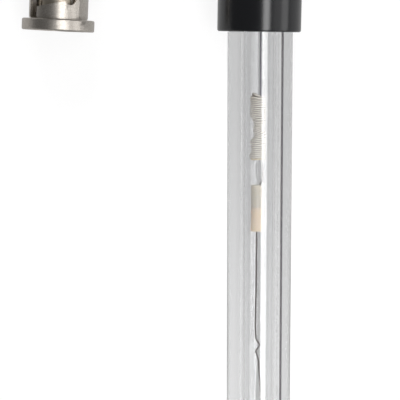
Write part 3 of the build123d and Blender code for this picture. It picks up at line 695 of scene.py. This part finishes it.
# Painted shade in the grooves between the turns.
crest_value = coated_and_shaded.node("ShaderNodeAttribute", {"attribute_name": "crest"}, out="Fac")
groove_shade = coated_and_shaded.node("ShaderNodeMapRange", {}, {"Value": crest_value, "From Min": 0.88, "From Max": 0.68})
coat_and_shade = coated_and_shaded.between(groove_shade, coat_and_shade, shade((150, 142, 132)))
coated_and_shaded.set(Base_Color=coat_and_shade, Roughness=0.4, Metallic=0.1)
dress(winding, coated_and_shaded, replaces=["silver_coil"])
print("winding:", len(winding.data.polygons), "faces")

# %% [markdown]
# ## Beads and wires
#
# Under the coil the wire runs through a grey bead and a tan one, which keep the silver dry. They are short
# turned rods with soft edges. The wires themselves are right in the CAD model and only need their finish.

# %% Beads and wire finishes
BEAD_R = 0.82
BEAD_X = WINDING_X - 0.13
SEAL_TOP = winding_low - 4.5
SEAL_LOW = SEAL_TOP - 4.2
PLUG_LOW = SEAL_LOW - 4.5


def bead(name, low, high):
    """A short rod with rounded ends."""
    round_r = 0.03
    points = [(0, low)] + arc((BEAD_R - round_r, low + round_r), round_r, -90, 0, 4)
    points += arc((BEAD_R - round_r, high - round_r), round_r, 0, 90, 4) + [(0, high)]
    place = electrode_place @ Matrix.Translation(Vector((BEAD_X, 0, 0)) * MM)
    return turned(name, points, place, segments=48)


grey = Finish("grey_bead")
cloud = grey.noise(0.8, detail=3)
grey.set(Base_Color=grey.between(cloud, shade((200, 195, 184)), shade((214, 209, 199))), Roughness=0.5)
grey.set(Subsurface_Weight=1.0, Subsurface_Radius=(1.0, 0.95, 0.85), Subsurface_Scale=0.001)
tan = Finish("tan_bead")
cloud = tan.noise(0.8, detail=3)
tan.set(Base_Color=tan.between(cloud, shade((218, 203, 184)), shade((230, 216, 198))), Roughness=0.5)
tan.set(Subsurface_Weight=1.0, Subsurface_Radius=(1.0, 0.95, 0.85), Subsurface_Scale=0.001)
dress(bead("grey_bead", SEAL_LOW, SEAL_TOP), grey, replaces=["wire_seal"])
dress(bead("tan_bead", PLUG_LOW, SEAL_LOW), tan, replaces=["wire_plug"])

dark_wire = Finish("dark_wire")
dark_wire.set(Base_Color=shade((92, 88, 92)), Roughness=0.45, Metallic=0.6)
thin_wire = Finish("measuring_wire")
thin_wire.set(Base_Color=shade((100, 94, 92)), Roughness=0.5, Metallic=0.3)
lead_finish = Finish("lead_wire")
lead_finish.set(Base_Color=shade((126, 124, 132)), Roughness=0.45, Metallic=0.4)
dress(nodes["stem_lead"], lead_finish)
dress(nodes["reference_wire"], dark_wire)
dress(nodes["measuring_wire"], thin_wire)
print("beads and wires made")

# %% [markdown]
# ## Cap and boots
#
# The cap is moulded in black plastic with a satin skin. Its edge is broken by a small round, which catches a
# line of light. The rubber boots are duller, with ring grooves that let them bend.

# %% The cap
CAP_LENGTH = 32.0
SHOULDER = 24.0
CAP_REAR_R = 5.4
SOCKET_R = 5.83
SPIGOT_R = 3.0
REAR_WALL = 5.0

cap_points = [(SOCKET_R, 0.0)] + arc((CAP_R - CAP_EDGE_RADIUS, CAP_EDGE_RADIUS), CAP_EDGE_RADIUS, -90, 0, 6)
cap_points += [(CAP_R, 12.0), (CAP_R, SHOULDER - 2.2)]
for i in range(1, 9):
    t = i / 8
    cap_points.append((CAP_R - 0.31 * 2 * t * t, SHOULDER - 2.2 + 4.4 * t))
cap_points += [(CAP_REAR_R + 0.35, CAP_LENGTH - 0.85)]
cap_points += arc((CAP_REAR_R - 0.75, CAP_LENGTH - 0.8), 0.8, 15, 90, 6)
cap_points += [(SPIGOT_R + 0.02, CAP_LENGTH), (SPIGOT_R + 0.02, CAP_LENGTH - REAR_WALL)]
cap_points += [(5.6, CAP_LENGTH - REAR_WALL), (5.6, TUBE_IN_CAP + 0.05), (SOCKET_R, TUBE_IN_CAP + 0.05)]
CAP_SKEW = math.radians(0.9)
pivot = Vector((0, 0, TUBE_IN_CAP)) * MM
skew = Matrix.Translation(pivot) @ Matrix.Rotation(CAP_SKEW, 4, "Y") @ Matrix.Translation(-pivot)
cap = turned("cap", cap_points, electrode_place @ skew, closed=True, segments=160)

moulded = Finish("black_moulded")
fine = moulded.noise(0.12, detail=2)
broad = moulded.noise(3.0, detail=3)
moulded.set(
    Base_Color=shade((12, 13, 16)),
    Roughness=0.18 + broad * 0.05,
    Normal=moulded.bump(fine, 0.004),
    Specular_IOR_Level=0.65,
)
dress(cap, moulded, replaces=["electrode_cap"])
print("cap made")


# %% The boots
def boot_outline(front, rear, front_r, rear_r, bore_r, grooves, width, depth, ribbed=0.62, plain=0.06):
    """The outline of a tapered sleeve with ring grooves near its rear end."""
    length = rear - front
    taper = lambda height: front_r + (rear_r - front_r) * (height - front) / length
    points = [(bore_r, front), (front_r - 0.25, front), (front_r, front + 0.25)]
    for i in reversed(range(grooves)):
        low = rear - plain * length - i * ribbed * length / grooves - width
        floor_r = taper(low + width / 2) - depth
        points += [(taper(low) - 0.02, low - 0.15), (taper(low) - 0.15, low), (floor_r, low + 0.1)]
        points += [(floor_r, low + width - 0.1), (taper(low + width) - 0.15, low + width)]
        points += [(taper(low + width) - 0.02, low + width + 0.15)]
    points += [(rear_r, rear - 0.3), (rear_r - 0.3, rear), (bore_r, rear)]
    return points


rubber = Finish("black_rubber")
dull = rubber.noise(0.2, detail=3)
rubber.set(Base_Color=shade(32), Roughness=0.55 + dull * 0.1, Normal=rubber.bump(dull, 0.006))
cap_boot = turned(
    "cap_boot", boot_outline(CAP_LENGTH, BOOT_END, 4.3, 2.5, 1.52, 5, 1.0, 0.6), closed=True, segments=96
)
dress(cap_boot, rubber, replaces=["cable_boot"])
plug_boot = turned(
    "plug_boot_sleeve",
    boot_outline(18.3, 39.2, 3.7, 2.4, 1.52, 4, 0.9, 0.5),
    plug_place,
    closed=True,
    segments=96,
)
dress(plug_boot, rubber, replaces=["plug_boot"])
print("boots made")

# %% [markdown]
# ## Bayonet plug
#
# The plug's metal is nickel plate over turned brass, blasted to a fine satin. The collar comes from the CAD
# model, because its slots follow a helix. A copy of its mesh is merged, and its long thin triangles are joined into
# larger faces, which a bevel needs. Its edges are then broken, and its round sides are smoothed, so that
# highlights run evenly along it.

# %% Metal finishes
nickel = Finish("satin_nickel")
grain = nickel.noise(0.22, detail=3, rough=0.7)
stain = nickel.noise(2.5, detail=4)
pits = nickel.node("ShaderNodeMapRange", {}, {"Value": grain, "From Min": 0.35, "From Max": 0.65})
plate = nickel.between(stain, shade((200, 194, 186)), shade((214, 209, 202)))
nickel.set(
    Base_Color=nickel.between(pits * 0.7, plate, shade((164, 156, 147))),
    Metallic=1.0,
    Roughness=0.3 + grain * 0.12,
    Normal=nickel.bump(grain, 0.03),
)
dull_metal = Finish("contact_metal")
tarnish = dull_metal.noise(1.5, detail=4)
dull_metal.set(
    Base_Color=dull_metal.between(tarnish, shade((172, 162, 146)), shade((200, 191, 177))),
    Metallic=1.0,
    Roughness=0.42,
)
steel = Finish("spring_steel")
steel.set(Base_Color=shade((150, 150, 150)), Metallic=1.0, Roughness=0.3)
white_plastic = Finish("white_insulator")
white_plastic.set(Base_Color=shade((226, 224, 218)), Roughness=0.35)
gasket_rubber = Finish("gasket_rubber")
gasket_rubber.set(Base_Color=shade((150, 84, 58)), Roughness=0.6)
print("metal finishes ready")


# %% The collar and the plug's other pieces
def refined(node, name, bevel_mm):
    """A merged copy of a CAD piece with broken edges and smooth round sides."""
    source = nodes[node]
    obj = bpy.data.objects.new(name, source.data.copy())
    bpy.context.collection.objects.link(obj)
    only(obj)
    bpy.ops.object.mode_set(mode="EDIT")
    bpy.ops.mesh.select_all(action="SELECT")
    bpy.ops.mesh.remove_doubles(threshold=2e-6)
    bpy.ops.mesh.tris_convert_to_quads(face_threshold=math.radians(12), shape_threshold=math.radians(120))
    bpy.ops.mesh.dissolve_limited(angle_limit=math.radians(1))
    bpy.ops.object.mode_set(mode="OBJECT")
    bpy.ops.object.shade_smooth_by_angle(angle=math.radians(28))
    edges = obj.modifiers.new("edges", "BEVEL")
    edges.width = bevel_mm * MM
    edges.segments = 2
    edges.limit_method = "ANGLE"
    edges.angle_limit = math.radians(40)
    edges.harden_normals = True
    bpy.ops.object.modifier_apply(modifier="edges")
    return obj


collar = refined("coupling_collar", "bayonet_collar", 0.06)
dress(collar, nickel, body="coupling_collar", replaces=["coupling_collar"])
contact = refined("outer_contact", "contact_sleeve", 0.04)
dress(contact, dull_metal, replaces=["outer_contact"])
for name, finish in {
    "plug_body": nickel,
    "crimp_ferrule": nickel,
    "contact_pin": dull_metal,
    "plug_insulator": white_plastic,
    "plug_gasket": gasket_rubber,
    "thrust_washer": steel,
    "retaining_ring": steel,
}.items():
    dress(nodes[name], finish)
print("collar:", len(collar.data.polygons), "faces")

# %% [markdown]
# ## Spring washer
#
# A bowed washer behind the plug's flange pushes the collar back. It is flattened when the collar is pushed
# forwards to be turned home. Its copy is merged, its edges are broken, and it gets a mesh of its own.

# %% The bowed washer, with a mesh of its own
bowed = refined("spring_washer", "bowed_washer", 0.02)
dress(bowed, steel, replaces=["spring_washer"])
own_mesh(bowed)
print("bowed washer:", len(bowed.data.polygons), "faces")

# %% What closes the electrode: junction, stoppers and resin
porous = Finish("porous_ceramic")
pores = porous.noise(0.1, detail=3)
porous.set(Base_Color=shade((222, 220, 212)), Roughness=0.8, Normal=porous.bump(pores, 0.02))
soft = Finish("soft_stopper")
soft.set(Base_Color=shade((206, 202, 192)), Roughness=0.7)
resin = Finish("cast_resin")
resin.set(Base_Color=shade(40), Roughness=0.3)
dress(nodes["ceramic_junction"], porous)
dress(nodes["tube_stopper"], soft)
dress(nodes["stem_stopper"], soft)
dress(nodes["cap_potting"], resin)
print("closing pieces dressed")

# %% [markdown]
# ## The plug's pieces
#
# The plug's pieces are gathered in one list.

plug_pieces = [plug_boot, collar, contact, bowed, strap]
plug_pieces += [
    nodes[name]
    for name in (
        "plug_body", "crimp_ferrule", "contact_pin", "plug_insulator",
        "plug_gasket", "thrust_washer", "retaining_ring",
    )
]

# %% [markdown]
# ## Floor and light
#
# The object lies on white. The floor is a white surface, and part of the light that the camera sees on it is its
# own, so that it stays white and still keeps a soft shadow. In glass and in metal it shows a little greyer, as
# the shaded floor under and beside the object does. The lamps are those of a small product studio: a long strip
# nearly overhead, a little to the right, which draws the bright line along the glass and the cap, and two wide,
# weaker panels on the right, which light the metal's right side. Two square lamps in front and behind only fill:
# no round side of the object mirrors them. The rest of the room is dark grey.

# %% Floor
bpy.ops.object.select_all(action="DESELECT")
bpy.ops.mesh.primitive_plane_add(size=6, location=(0, 0, -0.0001))
floor = bpy.context.object
floor.name = "floor"
white_floor = Finish("white_floor")
OWN_LIGHT = 0.78
SEEN_IN_GLASS = 0.76
SEEN_IN_METAL = 0.6
path = {
    name: white_floor.node("ShaderNodeLightPath", out=name)
    for name in ("Is Camera Ray", "Is Transmission Ray", "Is Glossy Ray")
}


def glow(grey, strength=1.0):
    return white_floor.node("ShaderNodeEmission", {}, {"Color": (grey, grey, grey), "Strength": strength})


def mixed(factor, first, second):
    return white_floor.node("ShaderNodeMixShader", {}, {0: factor, 1: first, 2: second})


white_floor.set(Base_Color=(0.75, 0.75, 0.75), Roughness=0.9, Specular_IOR_Level=0.1)
reflected = mixed(path["Is Transmission Ray"], glow(SEEN_IN_METAL), glow(SEEN_IN_GLASS))
seen = mixed(path["Is Camera Ray"], reflected, glow(1.0, 1.07))
own_light = path["Is Camera Ray"] * OWN_LIGHT + path["Is Transmission Ray"] + path["Is Glossy Ray"]
surface = Wire(white_floor, white_floor.shader.outputs[0])
white_floor.feed(white_floor.output.inputs["Surface"], mixed(own_light, surface, seen))
floor.data.materials.append(white_floor.material)
print("floor made")

# %% Lamps and room
def panel(name, from_top, distance, y, width, length, radiance):
    """A soft lamp above the object, so many degrees to the right of straight up, as bright as a mirror shows it."""
    angle = math.radians(from_top)
    place = (math.sin(angle) * distance, y, math.cos(angle) * distance)
    bpy.ops.object.light_add(type="AREA", location=place, rotation=(0, angle, 0))
    lamp = bpy.context.object
    lamp.name = name
    lamp.data.shape = "RECTANGLE"
    lamp.data.size, lamp.data.size_y = width, length
    lamp.data.energy = radiance * math.pi * width * length
    return lamp


panel("strip", 16.5, 0.6, -0.09, 0.175, 0.8, 5.4)
panel("upper_panel", 49, 0.6, -0.02, 0.28, 0.8, 0.7)
panel("side_panel", 71, 0.6, -0.02, 0.22, 0.8, 1.7)


def fill_lamp(name, place, size, radiance):
    """A square lamp that looks at the coil."""
    place = Vector(place)
    turn = (-place).to_track_quat("-Z", "Y").to_euler()
    bpy.ops.object.light_add(type="AREA", location=place, rotation=turn)
    lamp = bpy.context.object
    lamp.name = name
    lamp.data.shape = "SQUARE"
    lamp.data.size = size
    lamp.data.energy = radiance * math.pi * size * size
    lamp.visible_glossy = False
    return lamp


fill_lamp("front_fill", (-0.1, -0.6, 0.45), 0.3, 9.0)
fill_lamp("back_fill", (-0.1, 0.65, 0.45), 0.3, 9.0)


class Room(Finish):
    """The same shorthand for the world's nodes."""

    def __init__(self, name):
        self.world = bpy.data.worlds.new(name)
        self.world.use_nodes = True
        self.tree = self.world.node_tree
        self.shader = self.tree.nodes["Background"]
        self.output = self.tree.nodes["World Output"]


room = Room("room")
bpy.context.scene.world = room.world
direction = room.node("ShaderNodeTexCoord", out="Generated")
height = room.node("ShaderNodeSeparateXYZ", {}, {0: direction}, out="Z")
ROOM_LIGHT = 0.13
shades = room.node("ShaderNodeValToRGB", {"stops": [(0.0, 0.35), (0.15, ROOM_LIGHT)]}, {0: height})
room.set(Color=shades)
backdrop = room.node("ShaderNodeBackground", {}, {"Color": (1, 1, 1)})
camera_ray = room.node("ShaderNodeLightPath", out="Is Camera Ray")
inside = Wire(room, room.shader.outputs[0])
room.feed(room.output.inputs["Surface"], room.node("ShaderNodeMixShader", {}, {0: camera_ray, 1: inside, 2: backdrop}))
bpy.context.scene.view_settings.view_transform = "Standard"
bpy.context.scene.cycles.max_bounces = 32
bpy.context.scene.cycles.transmission_bounces = 32
bpy.context.scene.cycles.transparent_max_bounces = 32
print("lamps and room ready")
